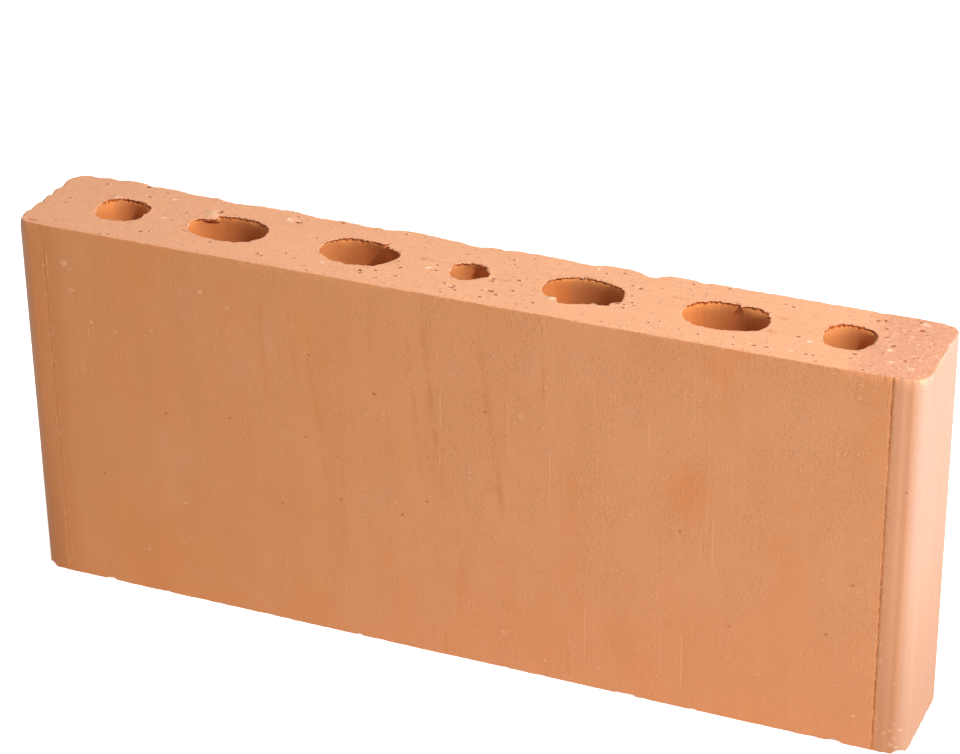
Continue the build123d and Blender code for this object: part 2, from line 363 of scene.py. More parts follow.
def smooth(value, low, high):
    """Smooth step: 0 up to low, 1 from high, and 3t2 - 2t3 of the share t between them."""
    share = np.clip((value - low) / (high - low), 0, 1)
    return share * share * (3 - 2 * share)


def fade(distance, reach):
    """1 at no distance, falling by the square of what is left of the reach, and 0 beyond it."""
    return (1 - np.clip(distance / reach, 0, 1)) ** 2


def table(places, rows, period=None):
    """Values in mm, joined by straight lines between given places, turned into metres."""
    known, values = np.array(rows, float).T
    return np.interp(places, known, values, period=period) * MM


def bell(distance, width):
    """Bell curve: e to the power of minus the square of the distance over the width."""
    return np.exp(-((distance / width) ** 2))


# The nominal block: grids that share their edge points

def holes_in_row(sizes):
    """The seven holes from left to right: bores from the record's mounts, ovals from its openings."""
    holes = []
    for mount in frame["record"]["mounts"]:
        if mount["kind"] == "bore":
            radius = mount["dims"]["r_mm"] * MM
            holes.append(Hole(mount["pos_m"][0], radius, radius, radius))
    for opening in frame["record"]["physics"]["openings"]:
        low, high = opening["box_m"]
        place = (low[0] + high[0]) / 2
        holes.append(Hole(place, sizes.oval_length / 2, sizes.oval_width / 2, sizes.oval_end_radius))
    return sorted(holes)


def bore_radius(hole, angle):
    """Distance from a hole's middle to its wall in each direction. A round hole's is its radius. An oval is
    four arcs that meet smoothly: the ray meets the end arc up to the joint's direction, and the side arc
    past it."""
    if hole.half_long == hole.half_wide:
        return np.full(np.shape(angle), hole.half_long)
    across = np.abs(np.cos(angle))
    up = np.abs(np.sin(angle))
    end = hole.half_long - hole.end_radius
    side_radius = (end**2 + hole.half_wide**2 - hole.end_radius**2) / (2 * (hole.half_wide - hole.end_radius))
    drop = side_radius - hole.half_wide
    share = hole.end_radius / (side_radius - hole.end_radius)
    joint = math.atan2(drop * share, end * (1 + share))
    to_end = end * across + np.sqrt(np.maximum(hole.end_radius**2 - (end * up) ** 2, 0))
    to_side = np.sqrt(side_radius**2 - (drop * across) ** 2) - drop * up
    return np.where(np.arctan2(up, across) < joint, to_end, to_side)


# An even place that is nearer to an extra one than this share of the step gives way to it
GIVE_WAY_SHARE = 0.4


def even_places(start, end, step, extra=()):
    """Places from start to end, without the end: even steps, with extra places put in where they fall."""
    count = max(2, round(abs(end - start) / step))
    places = start + (end - start) * np.arange(count) / count
    extra = np.array([place for place in extra if min(start, end) < place < max(start, end)])
    if len(extra):
        near = np.abs(places[:, None] - extra).min(axis=1) < step * GIVE_WAY_SHARE
        places = np.sort(np.concatenate([places[~near], extra]))
    return places


# How much finer the mesh is round the upright corners than along the back
CORNER_CROWDING = 1.4

# Places of the mesh columns across a crease, in its widths
CREASE_SHARES = np.array((-0.5, -0.25, 0.0, 0.25, 0.5))


def path(x, y):
    """Points of an outline from their places, either of which may be the same for all of them."""
    return np.stack(np.broadcast_arrays(x, y), axis=1)


def rounded_end(side, sizes):
    """Outline of one end of the block, walked with the clay on the left: an arc, the flat end and an arc."""
    radius = sizes.corner_radius
    half_long = BLOCK_HIGH.x - radius
    half_wide = BLOCK_HIGH.y - radius
    count = round(radius * math.pi / 2 / sizes.back_step * CORNER_CROWDING)
    turn = np.arange(count) / count * math.pi / 2
    first, last = (path(half_long + radius * np.cos(angle), middle + radius * np.sin(angle))
                   for angle, middle in ((turn - math.pi / 2, -half_wide), (turn, half_wide)))
    flat = path(BLOCK_HIGH.x, even_places(-half_wide, half_wide, sizes.back_step))
    return np.concatenate([first, flat, last]) * side


def block_cells(sizes):
    """One cell of the cut face round each hole, bounded by the outline and by lines at the middles of the
    webs. The four stretches run round the cell with the clay on the left, each without its last point."""
    holes = holes_in_row(sizes)
    start = BLOCK_HIGH.x - sizes.corner_radius
    webs = [(a.place + a.half_long + b.place - b.half_long) / 2 for a, b in zip(holes, holes[1:])]
    lines = [-start] + webs + [start]
    crease = CREASE_SHARES * sizes.crease_width
    creases = np.concatenate([crease - sizes.crease_place, crease + sizes.crease_place])
    across = even_places(BLOCK_LOW.y, BLOCK_HIGH.y, sizes.web_step)
    cells = []
    for hole, low, high in zip(holes, lines, lines[1:]):
        front = path(even_places(low, high, sizes.front_step, creases), BLOCK_LOW.y)
        back = path(even_places(high, low, sizes.back_step), BLOCK_HIGH.y)
        right = rounded_end(1, sizes) if high == start else path(high, across)
        left = rounded_end(-1, sizes) if low == -start else path(low, -across)
        cells.append(Cell(hole, front, right, back, left))
    return cells


def level_loop(loop, level):
    return np.column_stack([loop, np.full(len(loop), level)])


def rings(cell, level, shares):
    """Rings of a cut face between a hole's rim and its cell's edge: each ring lies the given share of the way
    along straight lines, which start on the rim in the direction of the edge point that they end at."""
    edge = np.concatenate([cell.front, cell.right, cell.back, cell.left])
    angle = np.arctan2(edge[:, 1], edge[:, 0] - cell.hole.place)
    radius = bore_radius(cell.hole, angle)
    rim = path(cell.hole.place + radius * np.cos(angle), radius * np.sin(angle))
    flat = rim + (edge - rim) * shares[:, None, None]
    return np.concatenate([flat, np.full(flat.shape[:2] + (1,), level)], axis=2)


def graded(count, share):
    """Shares from 0 to 1 that crowd at both ends: a mix of even steps and half a cosine wave."""
    step = np.arange(count + 1) / count
    shares = (1 - share) * step + share * (1 - np.cos(math.pi * step)) / 2
    shares[-1] = 1
    return shares


# Levels of the mesh rows in mm: down the outer skin from the upper face and up from the lower one alike,
# down the bore walls from the upper face, and up them from the lower face
SIDE_DEPTHS = (0, 0.3, 0.7, 1.2, 1.9, 2.8, 4.2, 6.5, 10, 16, 27, 45, 72)
WALL_DEPTHS = (0, 0.35, 0.8, 1.4, 2.1, 3.0, 4.4, 7, 13, 30, 80)
WALL_HEIGHTS = (50, 12, 4, 1.2, 0)

# How much the rings of the upper and of the lower cut face crowd at the rim and at the arris
UPPER_CROWDING_SHARE = 0.6
LOWER_CROWDING_SHARE = 0.97

# Order of the finishes on the mesh
SKIN, CUT, BORE = range(3)


def block_patches(sizes):
    """Every patch of the nominal surface, as (points in rows round a loop, whether its faces are turned over,
    finish number): the upper and lower cut faces, the bore walls and the outer skin."""
    top = BLOCK_HIGH.z
    cells = block_cells(sizes)
    upper = graded(sizes.top_rings, UPPER_CROWDING_SHARE)
    lower = graded(sizes.bottom_rings, LOWER_CROWDING_SHARE)
    wall_levels = np.concatenate([top - np.array(WALL_DEPTHS) * MM, np.array(WALL_HEIGHTS) * MM])
    depths = np.array(SIDE_DEPTHS) * MM
    side_levels = np.concatenate([top - depths, [top / 2], depths[::-1]])
    patches = []
    for cell in cells:
        patches.append((rings(cell, top, upper), False, CUT))
        patches.append((rings(cell, 0, lower), True, CUT))
        rim = rings(cell, 0, upper[:1])[0, :, :2]
        patches.append((np.stack([level_loop(rim, level) for level in wall_levels]), True, BORE))
    outline = [cell.front for cell in cells] + [cells[-1].right]
    outline += [cell.back for cell in reversed(cells)] + [cells[0].left]
    outline = np.concatenate(outline)
    patches.append((np.stack([level_loop(outline, level) for level in side_levels]), False, SKIN))
    return patches


def weld(patches):
    """Joins the patches where their points agree, and returns points, quads and the finish of each quad."""
    points = []
    quads = []
    finishes = []
    first = 0
    for grid, turned, finish in patches:
        rows, columns = grid.shape[:2]
        index = first + np.arange(rows * columns).reshape(rows, columns)
        beside = np.roll(index, -1, axis=1)
        faces = np.stack([index[:-1], index[1:], beside[1:], beside[:-1]], axis=-1).reshape(-1, 4)
        quads.append(faces[:, ::-1] if turned else faces)
        finishes.append(np.full(len(faces), finish))
        points.append(grid.reshape(-1, 3))
        first += rows * columns
    points = np.concatenate(points)
    quads = np.concatenate(quads)
    unique, place = np.unique(np.round(points, 8), axis=0, return_inverse=True)
    quads = place.reshape(-1)[quads]
    edges = np.sort(np.stack([quads, np.roll(quads, -1, axis=1)], axis=-1).reshape(-1, 2), axis=1)
    uses = np.unique(edges, axis=0, return_counts=True)[1]
    if np.any(uses != 2):
        raise RuntimeError(f"the block's skin is open or doubled at {np.count_nonzero(uses != 2)} edges")
    return unique, quads, np.concatenate(finishes)


# The real block: what the die, the wire and handling did to the nominal surface

def locate(points, sizes):
    """Each point's distance inside the outline and the unit direction out of the block: the normal of the
    nearest side, which turns with the arc round the middle of a corner."""
    x, y, z = points.T
    over_x = np.abs(x) - (BLOCK_HIGH.x - sizes.corner_radius)
    over_y = np.abs(y) - (BLOCK_HIGH.y - sizes.corner_radius)
    corner = (over_x > 0) & (over_y > 0)
    reach = np.where(corner, np.hypot(over_x, over_y), np.maximum(over_x, over_y))
    whole = np.where(corner, reach, 1)
    out_x = np.where(corner, over_x / whole, over_x > over_y) * np.sign(x)
    out_y = np.where(corner, over_y / whole, over_x <= over_y) * np.sign(y)
    return Vertices(x, y, z, np.maximum(sizes.corner_radius - reach, 0), out_x, out_y)


# Height in mm of the fine teeth of the upper arris: along the front, added at the front's right end, at the
# block's left end, and elsewhere
FRONT_TEETH = 0.12
RIGHT_TEETH = 0.25
LEFT_TEETH = 0.6
OTHER_TEETH = 0.38


def torn_edge(at):
    """How far the upper arris stands out: the listed edges of the four sides, mixed by the squares of the
    outward direction's parts, and fine teeth."""
    x, y = at.x / MM, at.y / MM
    sides = ((x, BACK_EDGE, at.out_y), (x, FRONT_EDGE, -at.out_y),
             (y, LEFT_EDGE, -at.out_x), (y, RIGHT_EDGE, at.out_x))
    edge = sum(table(places, rows) * np.maximum(out, 0) ** 2 for places, rows, out in sides)
    teeth = np.where(at.out_x < -0.5, LEFT_TEETH, OTHER_TEETH)
    teeth = np.where(at.out_y < -0.5, FRONT_TEETH + RIGHT_TEETH * smooth(x, 150, 220), teeth)
    return edge + teeth * MM * lattice_noise((at.x, at.y, 0), "arris_teeth")


def trough_depth(at):
    """Depth of the troughs dragged down the front: a bell across each slanted line, fading at its two
    ends."""
    waver = 0.8 * lattice_noise((at.z, 0, 0), "trough_waver")
    depth = np.zeros(len(at.x))
    for place, low, high, slant, half_wide, deep in TROUGHS:
        run = (high - at.z / MM) / (high - low)
        ends = smooth(run, -0.05, 0.1) * (1 - smooth(run, 0.8, 1.1))
        depth += deep * MM * bell(at.x / MM - place - slant * run - waver, half_wide) * ends
    return depth


# The swell and the valley beside each upright corner: places past the bend, widths, and the swell's share
SWELL_PLACE = -3.2 * MM
SWELL_WIDTH = 2.2 * MM
SWELL_SHARE = 0.55
VALLEY_PLACE = 0.4 * MM
VALLEY_WIDTH = 1.5 * MM

# How strong the swell is at the left corners, and the crease there
LEFT_SWELL_SHARE = 0.25
LEFT_CREASE_SHARE = 0.4


def skin_relief(at, sizes, relief):
    """Height of the extruded skin: broad waves and fine drag lines that hardly change along the height, the
    troughs dragged down the front, the swell and valley beside the corners, and the two creases."""
    height = lattice_noise(at[:3], "skin_wave") * relief.skin_wave
    height += lattice_noise(at[:3], "skin_drag") * relief.skin_drag
    front = np.maximum(-at.out_y, 0)
    height -= trough_depth(at) * front
    from_middle = np.abs(at.x)
    past_bend = from_middle - (BLOCK_HIGH.x - sizes.corner_radius)
    swell = SWELL_SHARE * bell(past_bend - SWELL_PLACE, SWELL_WIDTH)
    swell -= bell(past_bend - VALLEY_PLACE, VALLEY_WIDTH)
    side = np.where(at.x > 0, 1.0, LEFT_SWELL_SHARE)
    height += relief.corner_swell * swell * side * np.abs(at.out_y) ** 0.5
    ragged = 0.6 + 0.5 * lattice_noise(at[:3], "crease_breaks")
    deep = np.where(at.x > 0, ragged, smooth(ragged, 0.6, 1.0) * LEFT_CREASE_SHARE)
    off_crease = np.abs(from_middle - sizes.crease_place) / (sizes.crease_width / 2)
    return height - sizes.crease_depth * deep * np.clip(1 - off_crease, 0, 1) * front


# Where the upper face turns into torn clay, how far that border wanders, and how far past it the tear comes
# on
ROUGH_PLACE = 207 * MM
ROUGH_WANDER = 5 * MM
ROUGH_ONSET = (-3 * MM, 7 * MM)


def rough_part(at):
    """Share from 0 to 1 of torn clay: the last stretch of the upper face, with a wandering border."""
    border = ROUGH_PLACE + ROUGH_WANDER * lattice_noise((at.x, at.y, 0), "rough_border")
    return smooth(at.x - border, *ROUGH_ONSET) * (at.z > BLOCK_HIGH.z / 2)


def cut_relief(at, relief):
    """Height of a cut face: broad waves, lines that the wire drags along the block, and grain, which grows
    into torn clay at the right end of the upper face."""
    wave = lattice_noise(at[:3], "cut_wave") * relief.cut_wave
    drag = lattice_noise(at[:3], "cut_drag") * relief.cut_drag
    grain = lattice_noise(at[:3], "cut_grain") * relief.cut_grain
    ridged = 1 - 2 * np.abs(lattice_noise(at[:3], "cut_ridges"))
    return wave + drag + grain + relief.rough_end * ridged * rough_part(at)


# How far the marks of the sides reach in over the cut faces, and those of the cut down the sides
SKIN_REACH = 2 * MM
TEAR_REACH = 8 * MM
BACK_TEAR_DROP = 16 * MM
TEAR_DROP = 5 * MM

# The lower arris and the holes' lower rims: how ragged they are, and how far that reaches
LOWER_TEETH = 0.22 * MM
LOWER_RIM_TEETH = 0.5 * MM
LOWER_REACH = 3 * MM


def move_outline(at, sizes, relief):
    """Outward shift of every point: the skin's relief, fading inwards over the cut faces, and the torn upper
    arris, fading inwards and downwards, with a slightly ragged lower arris."""
    below = BLOCK_HIGH.z - at.z
    shift = skin_relief(at, sizes, relief) * fade(at.inside, SKIN_REACH)
    drop = np.where(at.out_y > 0.5, BACK_TEAR_DROP, TEAR_DROP)
    shift += torn_edge(at) * fade(at.inside, TEAR_REACH) * fade(below, drop)
    ragged = lattice_noise((at.x, at.y, 0), "lower_arris") * LOWER_TEETH
    return shift + ragged * fade(at.inside, LOWER_REACH) * fade(at.z, LOWER_REACH)


# Wear of the arrises: its least depth, how far it reaches in its own depths, and its shift as a share of them
LEAST_WEAR = 0.15 * MM
WEAR_REACH = 1.6
WEAR_SHARE = 0.3


def round_arris(at, relief):
    """Diagonal wear of both arrises: the same shift inwards and along Z, fading from the arris over the
    wear."""
    wear = relief.arris * (1 + 0.8 * lattice_noise(at[:3], "arris_wear"))
    wear = np.maximum(wear, LEAST_WEAR)
    upper, lower = (WEAR_SHARE * wear * fade(at.inside + away, wear * WEAR_REACH)
                    for away in (BLOCK_HIGH.z - at.z, at.z))
    return upper + lower, lower - upper


# The torn rims: how far a rim's shift reaches over the cut face and down the wall, how far its teeth do,
# between which depths a lip's underside falls back, and where the pockets under the back rim begin and end
RIM_REACH = 6 * MM
TEETH_DROP = 1.6 * MM
LIP_UNDERSIDE = (0.9 * MM, 2.6 * MM)
POCKET_TOP = (0.05 * MM, 0.5 * MM)
POCKET_FOOT = (0.6 * MM, 1.7 * MM)

# A lip sags over the hole, clay heaps up in a ridge behind the back rim, and every rim is rounded off
LIP_REACH = 4 * MM
LIP_SAG_SHARE = 0.3
RIDGE_HEIGHT = 0.28 * MM
RIDGE_PLACE = 1.3 * MM
RIDGE_WIDTH = 0.9 * MM
ROUND_OFF = 0.2 * MM
ROUND_REACH = 0.6 * MM


def move_rim(at, number, hole, relief):
    """Shift of the points round one hole, away from its middle, and up: the rim's listed edge and its
    teeth, which fade over the cut face and down the wall. A lip that hangs over the hole is thin, so the
    wall beneath it is in place again at once. Under the back rim the wall is hollowed into pockets."""
    angle = np.arctan2(at.y, at.x - hole.place)
    radius = bore_radius(hole, angle)
    beyond = np.maximum(np.hypot(at.x - hole.place, at.y) - radius, 0)
    below = BLOCK_HIGH.z - at.z
    rim = (hole.place + radius * np.cos(angle), radius * np.sin(angle), 0)
    back = smooth(np.sin(angle), -0.1, 0.5)
    teeth = lattice_noise(rim, "rim_teeth", number) * (0.7 + 0.4 * back)
    bites = lattice_noise(rim, "rim_bites", number) * (1.3 - back)
    edge = table(np.degrees(angle), RIM_EDGES[number], period=360)
    edge += relief.rim_teeth * (teeth + bites) * fade(below, TEETH_DROP)
    torn = np.where(edge > 0, fade(below, RIM_REACH), 1 - smooth(below, *LIP_UNDERSIDE))
    pockets = np.clip(0.65 + 1.1 * lattice_noise(rim, "rim_pockets", number), 0, 1.2)
    pockets *= back * smooth(below, *POCKET_TOP) * (1 - smooth(below, *POCKET_FOOT)) * (beyond < MM)
    away = edge * torn * fade(beyond, RIM_REACH) + relief.rim_pockets * pockets
    lower = lattice_noise(rim, "lower_rim", number) * LOWER_RIM_TEETH
    away += lower * fade(beyond + at.z, LOWER_REACH)
    up = RIDGE_HEIGHT * back * bell(beyond - RIDGE_PLACE, RIDGE_WIDTH) * fade(below, MM)
    up -= ROUND_OFF * fade(beyond + below, ROUND_REACH)
    up -= LIP_SAG_SHARE * np.maximum(-edge, 0) * fade(beyond + below, LIP_REACH)
    return angle, away, up, beyond


# Spots with a radius over this many mm are wide enough for the mesh, and the others stand in the finish alone
MESH_RADIUS = 1.15


def spot_relief(at):
    """Height of the wide pits and lumps of the upper face: bells of the distance over the radius, which are
    longer along X."""
    height = np.zeros(len(at.x))
    for x, y, radius, rise in SPOTS:
        if radius > MESH_RADIUS:
            away = np.hypot((at.x / MM - x) / (radius * SPOT_STRETCH), (at.y / MM - y) / radius)
            height += rise * MM * bell(away, 1)
    return height


# How far in from the front the skin's own spots reach round the corners, how near to a cut face its middles
# may lie, in mm, and an offset in radii that no spot reaches
FRONT_BAND = 8.5
CUT_BAND = 0.2
FAR_AWAY = 99.0


def spot_offsets(points, quads):
    """Offset of every face corner from the spot nearest to its face, in the spot's radii along X and along
    Y or Z, and the spot's rise in mm. A whole face reads one spot, so the offset runs straight across it,
    and the finish draws round spots however coarse the mesh is."""
    corners = points[quads] / MM
    middles = corners.mean(axis=1)
    offsets = np.full(corners.shape, FAR_AWAY)
    upper = middles[:, 2] > BLOCK_HIGH.z / MM - CUT_BAND
    front = (middles[:, 1] < BLOCK_LOW.y / MM + FRONT_BAND) & (middles[:, 2] > CUT_BAND) & ~upper
    for spots, second, reached in ((SPOTS, 1, upper), (SKIN_SPOTS, 2, front)):
        rows = np.array(spots)
        radii = rows[:, 2:3] * (SPOT_STRETCH, 1)
        gaps = (middles[reached][:, None, [0, second]] - rows[:, :2]) / radii
        nearest = np.argmin(np.hypot(gaps[..., 0], gaps[..., 1]), axis=1)
        from_spot = corners[reached][..., [0, second]] - rows[nearest, None, :2]
        offsets[reached, :, :2] = from_spot / radii[nearest, None]
        offsets[reached, :, 2] = rows[nearest, None, 3]
    return offsets.reshape(-1, 3)


def streak_depth(at):
    """Depth of the streaks in the upper face: a bell across each line, fading at its two ends."""
    x, y = at.x / MM, at.y / MM
    waver = 0.5 * lattice_noise((at.x, 0, 0), "streak_waver")
    depth = np.zeros(len(x))
    for low, high, place, half_wide, deep in STREAKS:
        along = smooth(x, low - 0.8, low + 1) * (1 - smooth(x, high - 2, high + 0.8))
        depth = np.maximum(depth, deep * MM * bell(y - place - waver, half_wide) * along)
    return depth


def scoop(points, at, rough, chip):
    """Pushes the points inside a rough sphere out to its surface, as a chip leaves it, and says which they
    are. The sphere's middle lies outside the arris, on the line between the directions out of the side and
    out of the cut face."""
    x, y, z, radius, depth = (part * MM for part in chip)
    near = np.argmin(np.hypot(np.hypot(at.x - x, at.y - y), at.z - z))
    rise = 1 if z > 0 else -1
    out = np.array([at.out_x[near], at.out_y[near], rise]) / math.sqrt(2)
    middle = np.array([x, y, z]) + out * (radius - depth)
    ray = points - middle
    away = np.linalg.norm(ray, axis=1)
    inside = away < radius * rough
    points[inside] = middle + ray[inside] / away[inside, None] * (radius * rough)[inside, None]
    return inside


# How deep the cut's relief reaches down the sides, and the places of the upper face down the walls
CUT_DROP = 2 * MM
SPOT_DROP = 1 * MM

# How far round a hole its rim can move points
RIM_ZONE = 9 * MM
RIM_ZONE_STRETCH = 1.2

# How far fresh clay shows at the arris and at a rim, what share of it shows in a chip, how far the painted
# shadow in the left end's notches reaches, and how deep they have to be
TORN_ARRIS_REACH = 1.6 * MM
TORN_RIM_REACH = 3.5 * MM
TORN_CHIP_SHARE = 0.8
NOTCH_REACH = 2.6 * MM
NOTCH_DEPTHS = (1.0 * MM, 1.8 * MM)
CHIP_ROUGHNESS = 0.035


def shape_block(points, sizes, relief):
    """Moves the nominal points to where the fired clay lies, and returns them with two shares from 0 to 1
    that the finishes read: painted shade in streaks and notches, and torn on fresh edges."""
    at = locate(points, sizes)
    below = BLOCK_HIGH.z - at.z
    upper = fade(below, SPOT_DROP)
    moved = points.copy()
    shift = move_outline(at, sizes, relief)
    inward, rise = round_arris(at, relief)
    cut = cut_relief(at, relief)
    rise += cut * fade(below, CUT_DROP)
    rise += np.abs(cut) * fade(at.z, CUT_DROP)
    torn = smooth(lattice_noise(at[:3], "torn_arris"), -0.2, 0.7) * fade(at.inside + below, TORN_ARRIS_REACH)
    for number, hole in enumerate(holes_in_row(sizes)):
        near = np.hypot((at.x - hole.place) / (hole.half_long + RIM_ZONE),
                        at.y / (hole.half_wide + RIM_ZONE)) < RIM_ZONE_STRETCH
        part = Vertices(*(values[near] for values in at))
        angle, away, up, beyond = move_rim(part, number, hole, relief)
        moved[near, 0] += away * np.cos(angle)
        moved[near, 1] += away * np.sin(angle)
        rise[near] += up
        lip = smooth(lattice_noise(part[:3], "torn_rim"), -0.5, 0.5)
        torn[near] = np.maximum(torn[near], lip * fade(beyond + below[near], TORN_RIM_REACH))
    streaks = streak_depth(at)
    rise += (spot_relief(at) - streaks) * upper
    moved[:, 0] += (shift - inward) * at.out_x
    moved[:, 1] += (shift - inward) * at.out_y
    moved[:, 2] += rise
    rough = 1 + CHIP_ROUGHNESS * lattice_noise(at[:3], "chip_grain")
    for chip in CHIPS:
        chipped = scoop(moved, at, rough, chip)
        torn[chipped] = np.maximum(torn[chipped], TORN_CHIP_SHARE)
    moved[:, 2] = np.maximum(moved[:, 2], 0)
    # Painted shade in the streaks, and painted shadow in the left end's notches, for the finishes to darken
    notches = smooth(-table(at.y / MM, LEFT_EDGE), *NOTCH_DEPTHS) * np.maximum(-at.out_x, 0) ** 2
    hollow = np.maximum(np.clip(streaks / MM, 0, 1) * upper, notches * fade(at.inside + below, NOTCH_REACH))
    return moved, {"hollow": hollow, "torn": torn * (1 - notches)}


# Finishes

WHITE = (1.0, 1.0, 1.0, 1.0)

# How much light glances off the dry clay
CLAY_SHINE = 0.25

# The jitter that breaks up the outlines of small spots: its scale, and how far it jolts a scattered dot and a
# listed spot, which is measured in its own radii
JITTER_SCALE = 1300.0
DOT_JOLT = 1.8 * MM
SPOT_JOLT = 2.2

# Where the skin's zones begin and are full, in mm from the middle along X: the corners, the painted sheen of
# the ends and the strip beside the right-hand crease, which the painted sheen makes paler
CORNER_ZONE = (229, 232)
SHEEN_ZONE = (236, 243.5)
STRIP_ZONE = (228, 232)

# How far behind the holes' middles, in mm, the zone of the torn back rims begins and is full, and where it
# fades out again on the cut face
BACK_ZONE = (1, 6)
BACK_ZONE_END = (17, 19)

Spot = namedtuple("Spot", "core lip rise")

# Noises of the finishes: (scale, along all axes or along X, Y and Z, detail, roughness)
PATTERNS = {
    "skin_broad": (9.0, 3.0, 0.5), "skin_drag": ((260, 260, 9), 4.0, 0.6), "skin_grain": (800.0, 3.0, 0.7),
    "skin_blotch": ((60, 60, 25), 4.0, 0.65), "skin_mottle": ((26, 26, 16), 4.0, 0.6),
    "sheen_bands": ((60, 120, 6), 2.0, 0.5), "corner_lines": ((600, 230, 5), 2.0, 0.5),
    "line_wander": ((0, 0, 60), 2.0, 0.5), "line_crumble": (420.0, 3.0, 0.6),
    "line_tremble": ((0, 0, 120), 2.0, 0.5), "line_patches": ((150, 150, 90), 3.0, 0.6),
    "crease_breaks": (300.0, 2.0, 0.5), "crease_crumbs": (430.0, 2.0, 0.5),
    "speckle": ((640, 640, 480), 2.5, 0.6), "speckle_patches": ((42, 42, 30), 3.0, 0.6),
    "cut_broad": (22.0, 3.0, 0.5), "cut_drag": ((45, 450, 450), 4.0, 0.6), "cut_grain": (850.0, 3.0, 0.7),
    "cut_coarse": (380.0, 3.0, 0.6), "cut_crumbs": (560.0, 2.0, 0.6), "bore_drag": ((220, 220, 6), 4.0, 0.6),
    "bore_grain": (700.0, 3.0, 0.6), "bore_bands": ((75, 75, 4), 3.0, 0.6), "rim_tear": (650.0, 2.0, 0.6),
}

# Scattered dots of the finishes: (size of the cell that holds one, greatest radius) in mm
DOTS = {
    "skin_grit": (4.6, 0.8), "skin_pocks": (5.2, 0.75), "cut_pocks": (4.4, 1.0), "rough_pocks": (2.2, 0.75),
    "cut_grit": (5.5, 0.9), "bore_grit": (4.6, 0.8),
}


class Nodes:
    """Short calls that add nodes to the tree of a material or a world, and join them."""

    def __init__(self, owner):
        owner.use_nodes = True
        self.owner = owner
        self.tree = owner.node_tree
        self.tree.nodes.clear()

    def add(self, kind, inputs=(), **settings):
        """A node with its settings and inputs. An input is a value or another node's output, in the inputs'
        own order or under its name or number."""
        node = self.tree.nodes.new(kind)
        for name, value in settings.items():
            setattr(node, name, value)
        items = inputs.items() if isinstance(inputs, dict) else enumerate(inputs)
        for key, value in items:
            if isinstance(value, bpy.types.NodeSocket):
                self.tree.links.new(value, node.inputs[key])
            else:
                node.inputs[key].default_value = value
        return node

    def math(self, operation, *values):
        return self.add("ShaderNodeMath", values, operation=operation).outputs[0]

    def times(self, *values):
        return reduce(lambda first, second: self.math("MULTIPLY", first, second), values)

    def most(self, *values):
        return reduce(lambda first, second: self.math("MAXIMUM", first, second), values)

    def whitened(self, base, glow):
        """Strength of a white glow that only the camera, mirrors and clear things see, added to a base."""
        path = self.add("ShaderNodeLightPath").outputs
        seen = self.most(path["Is Camera Ray"], path["Is Glossy Ray"], path["Is Transmission Ray"])
        return self.math("MULTIPLY_ADD", seen, glow, base)


